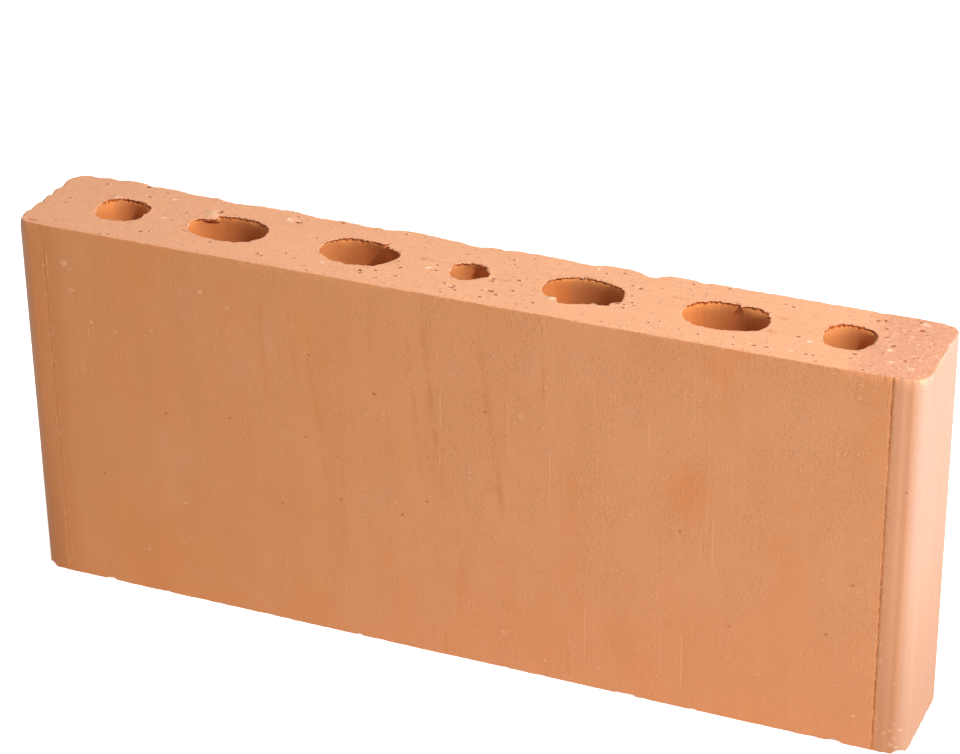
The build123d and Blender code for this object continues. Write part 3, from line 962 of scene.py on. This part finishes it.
class Finish(Nodes):
    """One material of the block, with the patterns and coats that its clays share."""

    def __init__(self, name, colours):
        super().__init__(bpy.data.materials.new(name))
        self.colours = colours
        self.place = self.add("ShaderNodeTexCoord").outputs["Object"]
        self.x, self.y, self.z = self.add("ShaderNodeSeparateXYZ", [self.place]).outputs
        jitter = self.add("ShaderNodeTexNoise", {"Vector": self.place, "Scale": JITTER_SCALE, "Detail": 1.0})
        self.jitter = self.add("ShaderNodeVectorMath", [jitter.outputs["Color"], (0.5,) * 3],
                               operation="SUBTRACT").outputs[0]

    def jolted(self, place, reach):
        """A place shifted by the jitter, which is as fine as the clay's own grains."""
        return self.add("ShaderNodeVectorMath", [self.jitter, (reach,) * 3, place],
                        operation="MULTIPLY_ADD").outputs[0]

    def clay(self, name):
        return (*getattr(self.colours, name), 1.0)

    def share(self, value, low, high, start=0.0, end=1.0):
        """Smooth step of a value from low to high, given as start to end."""
        keys = {"Value": value, "From Min": low, "From Max": high, "To Min": start, "To Max": end}
        return self.add("ShaderNodeMapRange", keys, interpolation_type="SMOOTHSTEP").outputs["Result"]

    def ramp(self, place, low, high, start=0.0, end=1.0):
        """The same of a place or distance, between two given in mm."""
        return self.share(place, low * MM, high * MM, start, end)

    def noise(self, name):
        """Noise from 0 to 1."""
        scale, detail, roughness = PATTERNS[name]
        keys = {"Vector": self.place, "Scale": scale, "Detail": detail, "Roughness": roughness}
        if isinstance(scale, tuple):
            stretched = self.add("ShaderNodeMapping", {"Vector": self.place, "Scale": scale})
            keys.update({"Vector": stretched.outputs[0], "Scale": 1.0})
        return self.add("ShaderNodeTexNoise", keys).outputs["Fac"]

    def sway(self, noise, width):
        """Noise from 0 to 1, turned into a wander of this width to both sides of zero."""
        return self.math("MULTIPLY_ADD", noise, width, -width / 2)

    def distance(self, first, second):
        return self.math("SQRT", self.math("ADD", self.times(first, first), self.times(second, second)))

    def dots(self, name):
        """Small uneven spots scattered through the clay, one to a cell, some of them hardly there."""
        cell, radius = DOTS[name]
        keys = {"Vector": self.jolted(self.place, DOT_JOLT), "Scale": 1 / (cell * MM)}
        found = self.add("ShaderNodeTexVoronoi", keys)
        chance = self.add("ShaderNodeSeparateColor", [found.outputs["Color"]]).outputs
        size = self.math("MULTIPLY_ADD", chance[0], 0.7 * radius / cell, 0.3 * radius / cell)
        spot = self.share(self.math("DIVIDE", found.outputs["Distance"], size), 0.4, 1.0, 1.0, 0.0)
        return self.times(spot, self.share(chance[1], 0.0, 1.0, 0.3, 1.0))

    def near_spot(self):
        """Shares of the core of the nearest listed spot and of the lip round it, and the spot's rise
        in mm. The spot's outline and rise are jolted, and it trails off to the right."""
        spot = self.jolted(self.mask("spot", "Vector"), SPOT_JOLT)
        along, across, rise = self.add("ShaderNodeSeparateXYZ", [spot]).outputs
        along = self.math("MINIMUM", along, self.times(along, 0.75))
        away = self.distance(along, across)
        core = self.share(away, 0.5, 1.0, 1.0, 0.0)
        return Spot(core, self.math("SUBTRACT", self.share(away, 1.1, 1.7, 1.0, 0.0), core), rise)

    def mask(self, name, output="Fac"):
        """Values that the mesh keeps under a name."""
        return self.add("ShaderNodeAttribute", attribute_name=name, attribute_type="GEOMETRY").outputs[output]

    def fresh(self, grain):
        """Share of freshly torn clay: the mesh's own share, broken up by the grain."""
        return self.share(self.math("ADD", self.mask("torn"), grain), 0.95, 1.15)

    def mix(self, share, first, second, blend="MIX"):
        inputs = {0: share, 6: first, 7: second}
        return self.add("ShaderNodeMix", inputs, data_type="RGBA", blend_type=blend).outputs[2]

    def paint(self, body, *coats):
        """Lays coats of clay colours over the body, each given as (colour, share, strength)."""
        for name, share, strength in coats:
            body = self.mix(self.times(share, strength), body, self.clay(name))
        return body

    def shade(self, body, *patterns):
        """The body times a brightness for each (pattern, brightness at its 0, brightness at its 1)."""
        for pattern, low, high in patterns:
            bright = self.math("MULTIPLY_ADD", pattern, high - low, low)
            grey = self.add("ShaderNodeCombineColor", [bright] * 3).outputs[0]
            body = self.mix(1.0, body, grey, "MULTIPLY")
        return body

    def close(self, body, roughness, *heights):
        """The finished material. Its relief is the sum of patterns, each given with its height in mm."""
        height = 0.0
        for pattern, rise in heights:
            height = self.math("MULTIPLY_ADD", pattern, rise * MM, height)
        bump = self.add("ShaderNodeBump", {"Strength": 1.0, "Distance": 1.0, "Height": height})
        inputs = {"Base Color": body, "Roughness": roughness, "Specular IOR Level": CLAY_SHINE,
                  "Normal": bump.outputs[0]}
        shader = self.add("ShaderNodeBsdfPrincipled", inputs)
        self.add("ShaderNodeOutputMaterial", [shader.outputs[0]])
        return self.owner


# Share of a line's length over which each of its ends fades, and of its half width that is at full strength
LINE_END_SHARE = 0.2
LINE_CORE_SHARE = 0.2


def upright_lines(skin, waver, lines):
    """Strongest share of some nearly upright lines: how near a point is to a line that starts at x at the top
    and goes aside by its slant on the way down, between the line's two ends."""
    aside = skin.math("ADD", skin.x, waver)
    shares = []
    for x, low, high, slant, half_wide, strength in lines:
        lean = slant / (high - low)
        run = skin.math("MULTIPLY_ADD", skin.z, -lean, (x + lean * high) * MM)
        off = skin.math("ABSOLUTE", skin.math("SUBTRACT", aside, run))
        soft = (high - low) * LINE_END_SHARE
        shares.append(skin.times(
            skin.ramp(off, half_wide * LINE_CORE_SHARE, half_wide, strength, 0.0),
            skin.ramp(skin.z, low, low + soft), skin.ramp(skin.z, high - soft, high, 1.0, 0.0)))
    return skin.most(*shares)


def with_painted_sheen(skin, body, from_middle, corner):
    """Painted sheen, paler and greyer, over the two ends and the strip beside the right-hand crease, in
    upright bands that thin downwards, over painted shade that darkens the corners towards the foot."""
    # Painted sheen: the ends and the crease strip are painted paler, less so lower down
    painted_sheen = skin.most(skin.ramp(skin.x, *STRIP_ZONE, 0.0, 0.28), skin.ramp(from_middle, *SHEEN_ZONE))
    bands = skin.share(skin.noise("sheen_bands"), 0.2, 0.6, 0.8, 1.0)
    painted_sheen = skin.times(painted_sheen, bands, skin.ramp(skin.z, -10, 200, 0.58, 1.0))
    lines = skin.share(skin.noise("corner_lines"), 0.3, 0.7)
    # Painted shade: the corners darken towards the foot
    foot = skin.ramp(skin.z, 0, 120, 1.0, 0.0)
    body = skin.paint(body, ("painted_sheen", painted_sheen, 1.0))
    return skin.shade(body, (skin.times(corner, foot), 1.0, 0.83), (skin.times(lines, corner), 0.99, 1.035))


def smudges(skin, left, blotch, front):
    """Share of orange smudges: a patch on the right of the front, and the foot of the skin on both sides."""
    patch = skin.distance(*(
        skin.math("DIVIDE", skin.math("SUBTRACT", axis, middle * MM), radius * MM)
        for axis, (middle, radius) in zip((skin.x, skin.z), SMUDGE_PATCH)))
    patch = skin.share(skin.math("ADD", patch, skin.sway(blotch, 1.2)), 0.1, 1.4, 0.5, 0.0)
    left_foot = skin.times(skin.ramp(skin.z, 1, 12, 0.12, 0.0), left)
    right_foot = skin.times(skin.ramp(skin.z, 10, 110, 0.14, 0.0), skin.ramp(skin.x, 60, 160),
                            skin.ramp(skin.x, 226, 234, 1.0, 0.0))
    return skin.most(skin.times(patch, front), left_foot, right_foot)


def creases(skin, tremble, front, crease_place):
    """Shares of the painted shade in the two creases, broken up and weaker on the left, and of the crumbs
    beside them."""
    off = skin.math("ABSOLUTE", skin.math("ADD", skin.x, tremble))
    off = skin.math("ABSOLUTE", skin.math("ADD", skin.math("SUBTRACT", off, crease_place), 0.15 * MM))
    broken = skin.share(skin.noise("crease_breaks"), 0.4, 0.6, 0.35, 1.0)
    dark = skin.times(skin.ramp(off, 0.2, 0.7, 0.8, 0.0), front, skin.ramp(skin.x, -1, 1, 0.4, 1.0), broken)
    beside = skin.math("ABSOLUTE", skin.math("SUBTRACT", off, 1.0 * MM))
    crumbs = skin.share(skin.noise("crease_crumbs"), 0.55, 0.63, 0.0, 0.5)
    return dark, skin.times(front, crumbs, skin.ramp(beside, 0.2, 1.2, 1.0, 0.0))


def skin_finish(colours, sizes):
    """Fired skin of the outer faces: mottled and ochre to the left, with faint upright drag, grit,
    scratches and dark lines on the front, a smudge, painted shade in the creases, pocks and notches, and a
    painted sheen over the ends. The speckle is liveliest on the right and fades towards the left, the foot
    and the corners."""
    skin = Finish("fired_skin", colours)
    front = skin.math("LESS_THAN", skin.y, BLOCK_LOW.y * 0.5)
    from_middle = skin.math("ABSOLUTE", skin.x)
    corner = skin.ramp(from_middle, *CORNER_ZONE)
    drag = skin.noise("skin_drag")
    grain = skin.noise("skin_grain")
    blotch = skin.noise("skin_blotch")
    mottle = skin.noise("skin_mottle")
    left = skin.math("MULTIPLY_ADD", skin.noise("skin_broad"), 0.12, skin.x)
    left = skin.share(left, -0.18, 0.16, 1.0, 0.0)
    body = skin.mix(left, skin.clay("skin"), skin.clay("skin_ochre"))
    body = skin.shade(body, (blotch, 0.95, 1.05), (drag, 0.97, 1.03), (grain, 0.93, 1.07))
    body = skin.paint(body, ("smudge", skin.share(mottle, 0.50, 0.68), 0.26),
                      ("cut", skin.share(mottle, 0.34, 0.48, 1.0, 0.0), 0.16))
    # Painted sheen over the ends, and painted shade low at the corners
    body = with_painted_sheen(skin, body, from_middle, corner)

    wander = skin.math("ADD", skin.sway(skin.noise("line_wander"), 2 * MM),
                       skin.sway(skin.noise("line_crumble"), 5 * MM))
    tremble = skin.sway(skin.noise("line_tremble"), 0.5 * MM)
    patchy = skin.share(skin.noise("line_patches"), 0.35, 0.6)
    dark = skin.times(upright_lines(skin, wander, DARK_LINES), patchy, front)
    light = skin.times(upright_lines(skin, tremble, SCRATCHES), front,
                       skin.share(grain, 0.3, 0.6, 0.3, 1.0))
    # Painted shade in the two creases
    crease, crumbs = creases(skin, tremble, front, sizes.crease_place)
    left_edge = skin.ramp(skin.x, -226, -215, 1.0, 0.0)

    speckle = skin.noise("speckle")
    patches = skin.share(skin.noise("speckle_patches"), 0.36, 0.58, 0.2, 1.0)
    lively = skin.times(skin.ramp(skin.x, -170, 60, 0.32, 1.0), patches, skin.ramp(skin.z, 10, 90, 0.55, 1.0),
                        skin.math("MULTIPLY_ADD", corner, -0.8, 1.0))
    raised = skin.most(skin.times(skin.share(speckle, 0.56, 0.66), lively), crumbs)
    sunk = skin.times(skin.share(speckle, 0.32, 0.43, 1.0, 0.0), lively)
    grit = skin.times(skin.dots("skin_grit"), lively)
    pock = skin.times(skin.dots("skin_pocks"), lively)
    spot = skin.near_spot()
    light_spot = skin.times(spot.core, skin.math("GREATER_THAN", spot.rise, 0.0),
                            skin.share(grain, 0.38, 0.55, 0.3, 1.0))
    sunk_spot_shade = skin.times(spot.core, skin.math("LESS_THAN", spot.rise, 0.0))

    # Painted shade: the dark skin colour darkens the creases and the pocks
    body = skin.paint(body, ("smudge", dark, 0.5), ("dark_skin_and_shade", dark, 0.22), ("torn", light, 0.5),
                      ("smudge", smudges(skin, left, blotch, front), 1.0),
                      ("dark_skin_and_shade", left_edge, 0.22), ("dark_skin_and_shade", crease, 1.0), ("smudge", sunk, 0.6),
                      ("dark_skin_and_shade", pock, 0.3), ("torn", raised, 0.16), ("torn", grit, 0.3))
    body = skin.shade(body, (raised, 1.0, 1.12), (grit, 1.0, 1.10))
    # Painted shade: the dark skin colour darkens the sunk spots and the left end's notches
    body = skin.paint(body, ("torn", light_spot, 0.55), ("dark_skin_and_shade", sunk_spot_shade, 0.7),
                      ("dark_skin_and_shade", skin.mask("hollow"), 0.7), ("torn", skin.fresh(grain), 0.6))
    return skin.close(body, 0.9, (drag, 0.05), (grain, 0.06), (grit, 0.26), (pock, -0.10), (light, 0.05),
                      (raised, 0.34), (sunk, -0.03), (skin.times(spot.core, spot.rise), 0.25))


def cut_finish(colours):
    """Wire-cut clay: paler, with lines dragged along the block, grain, pits and pale grains in the places
    of the spots, small open pits all over, and torn pink clay towards the right end. Painted shade darkens
    the pits, the small open pits, the streaks and notches, a brink at the back rims, and the face a little
    towards the left end."""
    cut = Finish("wire_cut_clay", colours)
    broad = cut.noise("cut_broad")
    drag = cut.noise("cut_drag")
    grain = cut.noise("cut_grain")
    coarse = cut.noise("cut_coarse")
    torn = cut.mask("torn")
    rough = cut.share(cut.math("MULTIPLY_ADD", broad, 0.018, cut.x), 0.208, 0.224)
    flecks = cut.times(cut.share(coarse, 0.55, 0.7), cut.math("MULTIPLY_ADD", rough, 0.45, 0.10))
    spot = cut.near_spot()
    # Painted shade in the cores of the sunk spots
    pit_shade = cut.times(spot.core, cut.math("LESS_THAN", spot.rise, 0.0))
    pale = cut.times(spot.core, cut.math("COMPARE", spot.rise, GRAIN_RISE, GRAIN_SPREAD))
    lump = cut.times(spot.core, cut.math("GREATER_THAN", spot.rise, GRAIN_RISE + GRAIN_SPREAD))
    pock = cut.most(cut.times(cut.dots("cut_pocks"), cut.ramp(cut.x, -200, 0, 0.45, 1.0)),
                    cut.times(cut.dots("rough_pocks"), rough))
    grit = cut.dots("cut_grit")
    crumbs = cut.share(cut.math("MULTIPLY_ADD", torn, 0.2, cut.noise("cut_crumbs")), 0.66, 0.74)
    # Painted shade along the brink of the back rims
    back_rim_shade = cut.times(cut.share(torn, 0.35, 0.8), cut.ramp(cut.y, *BACK_ZONE),
                      cut.ramp(cut.y, *BACK_ZONE_END, 1.0, 0.0))
    body = cut.mix(rough, cut.clay("cut"), cut.clay("cut_rough"))
    # Painted shade: the face is a little darker towards the left end
    body = cut.shade(body, (cut.ramp(cut.x, -240, -60), 0.96, 1.0), (broad, 0.96, 1.04), (drag, 0.94, 1.06),
                     (grain, 0.87, 1.13))
    # Painted shade: the small pits, the brink, the streaks and notches and the pit cores take the dark colour
    body = cut.paint(body, ("torn", flecks, 1.0), ("hollow", pock, 0.6), ("grit", grit, 0.5),
                     ("torn", crumbs, 0.4), ("hollow", back_rim_shade, 0.6), ("torn", spot.lip, 0.45),
                     ("torn", lump, 0.15), ("hollow", cut.mask("hollow"), 0.75), ("hollow", pit_shade, 0.85),
                     ("grit", pale, 0.8))
    rugged = cut.times(coarse, cut.math("MULTIPLY_ADD", rough, 0.40, 0.06))
    return cut.close(body, 0.92, (drag, 0.10), (grain, 0.15), (pock, -0.12), (grit, 0.12), (spot.lip, 0.10),
                     (crumbs, 0.40), (rugged, 1.0), (cut.times(spot.core, spot.rise), 0.25))


def bore_finish(colours):
    """Walls of the holes: deeper orange, dragged upright by the die's cores, with a little grit. Under the
    back rims a thin dark ragged line of painted shadow stands for the wall torn away, and a paler flap of
    clay hangs over a crack, whose dark is painted shadow, in one oval."""
    bore = Finish("bore_wall", colours)
    drag = bore.noise("bore_drag")
    grain = bore.noise("bore_grain")
    bands = bore.noise("bore_bands")
    grit = bore.dots("bore_grit")
    back = bore.ramp(bore.y, *BACK_ZONE)
    in_front = bore.math("SUBTRACT", 1.0, back)
    along = bore.math("SUBTRACT", bore.x, FLAP_PLACE)
    foot = bore.math("MULTIPLY_ADD", bore.times(along, along), FLAP_BEND, FLAP_FOOT)
    above = bore.math("SUBTRACT", bore.z, foot)
    from_flap = bore.math("ABSOLUTE", bore.math("ADD", along, FLAP_ASIDE))
    width = bore.times(bore.ramp(from_flap, *FLAP_SIDES, 1.0, 0.0), back)
    # Painted shadow along the crack under the flap, with the flap above it a little paler
    flap = bore.times(bore.ramp(above, *CRACK_SHADOW_EDGES), width)
    crack = bore.times(bore.ramp(bore.math("ABSOLUTE", above), *CRACK_SHADOW_EDGES, 1.0, 0.0), width)
    # Painted shadow: a thin ragged dark line under the back rims
    ragged = bore.math("MULTIPLY_ADD", bore.noise("rim_tear"), 3.6 * MM, bore.z)
    under = bore.times(bore.share(ragged, BLOCK_HIGH.z + 0.75 * MM, BLOCK_HIGH.z + 1.1 * MM), back,
                       bore.math("SUBTRACT", 1.0, flap))
    rim_shadow = bore.most(under, crack)
    body = bore.mix(bore.share(bands, 0.35, 0.65, 0.35, 0.0), bore.clay("bore"), bore.clay("skin_ochre"))
    body = bore.shade(body, (bore.share(bands, 0.36, 0.64), 0.92, 1.06), (drag, 0.91, 1.09),
                      (grain, 0.94, 1.06))
    body = bore.paint(body, ("torn", grit, 0.3), ("torn", bore.times(bore.fresh(grain), in_front), 0.7),
                      ("torn", flap, 0.2), ("hollow", rim_shadow, 1.0))
    # Painted shadow, made a little darker still
    body = bore.shade(body, (rim_shadow, 1.0, 0.9))
    return bore.close(body, 0.9, (drag, 0.08), (grain, 0.06), (grit, 0.12), (flap, 0.4))


class CLAYBLOCK_OT_fired_block(Operator):
    """Builds the fired clay block round its seven holes"""

    bl_idname = "clay_block.fired_block"
    bl_label = "Fired clay block"

    def execute(self, context):
        scene = context.scene
        sizes, relief, colours = scene.block_sizes, scene.block_relief, scene.block_colours
        points, quads, finishes = weld(block_patches(sizes))
        offsets = spot_offsets(points, quads)
        points, shares = shape_block(points, sizes, relief)
        mesh = bpy.data.meshes.new("fired_clay_block")
        mesh.from_pydata(points, [], quads)
        mesh.polygons.foreach_set("material_index", finishes.astype(np.int32))
        mesh.polygons.foreach_set("use_smooth", np.ones(len(quads), bool))
        for name, values in shares.items():
            mesh.attributes.new(name, "FLOAT", "POINT").data.foreach_set("value", values.astype(np.float32))
        spot = mesh.attributes.new("spot", "FLOAT_VECTOR", "CORNER")
        spot.data.foreach_set("vector", offsets.astype(np.float32).ravel())
        if mesh.validate(verbose=True):
            raise RuntimeError("the block's mesh had faces that Blender had to mend")
        for material in (skin_finish(colours, sizes), cut_finish(colours), bore_finish(colours)):
            mesh.materials.append(material)
        block = bpy.data.objects.new("fired_clay_block", mesh)
        scene.collection.objects.link(block)
        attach(block, "root")
        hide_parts(BLOCK)
        print(f"fired_clay_block: {len(points)} points, {2 * len(quads)} triangles")
        return {"FINISHED"}


# The stage

def floor_finish(studio):
    """Plain white floor: it takes the block's shadow, and shows white to the camera where it is lit."""
    floor = Nodes(bpy.data.materials.new("studio_floor"))
    matte = floor.add("ShaderNodeBsdfDiffuse", {"Color": (studio.floor_albedo,) * 3 + (1.0,)})
    strength = floor.whitened(studio.floor_light, studio.floor_glow)
    glow = floor.add("ShaderNodeEmission", {"Color": WHITE, "Strength": strength})
    both = floor.add("ShaderNodeAddShader", [matte.outputs[0], glow.outputs[0]])
    floor.add("ShaderNodeOutputMaterial", [both.outputs[0]])
    return floor.owner


def studio_sky(studio):
    """Even white light from all round, and plain white where the camera sees past the floor."""
    sky = Nodes(bpy.data.worlds.new("studio_sky"))
    strength = sky.whitened(studio.sky_light, 1.0 - studio.sky_light)
    light = sky.add("ShaderNodeBackground", {"Color": WHITE, "Strength": strength})
    sky.add("ShaderNodeOutputWorld", [light.outputs[0]])
    return sky.owner


def face_towards(place, aim, roll=0.0):
    """Matrix of a camera or lamp at a place, looking at a point, turned about its line of sight."""
    turn = (Vector(aim) - Vector(place)).to_track_quat("-Z", "Y").to_matrix().to_4x4()
    return Matrix.Translation(Vector(place)) @ turn @ Matrix.Rotation(roll, 4, "Z")


# Nearest that the camera sees
NEAR_CLIP = 0.05


class CLAYBLOCK_OT_studio(Operator):
    """Sets up the floor, the soft light, the white surroundings and the camera"""

    bl_idname = "clay_block.studio"
    bl_label = "Studio"

    def execute(self, context):
        scene = context.scene
        studio = scene.block_studio
        half = studio.floor_width / 2
        mesh = bpy.data.meshes.new("studio_floor")
        mesh.from_pydata([(-half, -half, 0), (half, -half, 0), (half, half, 0), (-half, half, 0)],
                         [], [(0, 1, 2, 3)])
        mesh.materials.append(floor_finish(studio))
        floor = bpy.data.objects.new("studio_floor", mesh)
        scene.collection.objects.link(floor)
        for name in ("key", "fill"):
            light = bpy.data.lights.new(f"{name}_lamp", "AREA")
            light.size = getattr(studio, f"{name}_width")
            light.energy = getattr(studio, f"{name}_power")
            lamp = bpy.data.objects.new(f"{name}_lamp", light)
            lamp.matrix_world = face_towards(getattr(studio, f"{name}_place"), studio.lamp_aim)
            lamp.visible_camera = False
            scene.collection.objects.link(lamp)
        scene.world = studio_sky(studio)
        lens = bpy.data.cameras.new("studio_camera")
        lens.lens = studio.camera_lens
        lens.clip_start = NEAR_CLIP
        camera = bpy.data.objects.new("studio_camera", lens)
        camera.matrix_world = face_towards(studio.camera_place, studio.camera_aim, studio.camera_roll)
        scene.collection.objects.link(camera)
        scene.camera = camera
        scene.view_settings.view_transform = "Standard"
        return {"FINISHED"}


class CLAYBLOCK_PT_sidebar(Panel):
    bl_idname = "CLAYBLOCK_PT_sidebar"
    bl_label = "Clay block"
    bl_space_type = "VIEW_3D"
    bl_region_type = "UI"
    bl_category = "Clay block"

    def draw(self, context):
        for operator in OPERATORS:
            self.layout.operator(operator.bl_idname)
        for name in SETTINGS:
            group = getattr(context.scene, name)
            box = self.layout.box()
            for key in group.bl_rna.properties.keys():
                if key not in ("rna_type", "name"):
                    box.prop(group, key)


SETTINGS = {
    "block_sizes": BlockSizes, "block_relief": ReliefSizes, "block_colours": ClayColours,
    "block_studio": StudioSettings,
}
OPERATORS = (CLAYBLOCK_OT_fired_block, CLAYBLOCK_OT_studio)


def register():
    for group in SETTINGS.values():
        bpy.utils.register_class(group)
    for operator in OPERATORS:
        bpy.utils.register_class(operator)
    bpy.utils.register_class(CLAYBLOCK_PT_sidebar)
    for name, group in SETTINGS.items():
        setattr(bpy.types.Scene, name, PointerProperty(type=group))


def unregister():
    for name in SETTINGS:
        delattr(bpy.types.Scene, name)
    bpy.utils.unregister_class(CLAYBLOCK_PT_sidebar)
    for cls in (*OPERATORS, *SETTINGS.values()):
        bpy.utils.unregister_class(cls)


def main():
    register()
    bpy.ops.clay_block.fired_block()
    bpy.ops.clay_block.studio()
    bpy.context.view_layer.update()


if __name__ == "__main__":
    main()
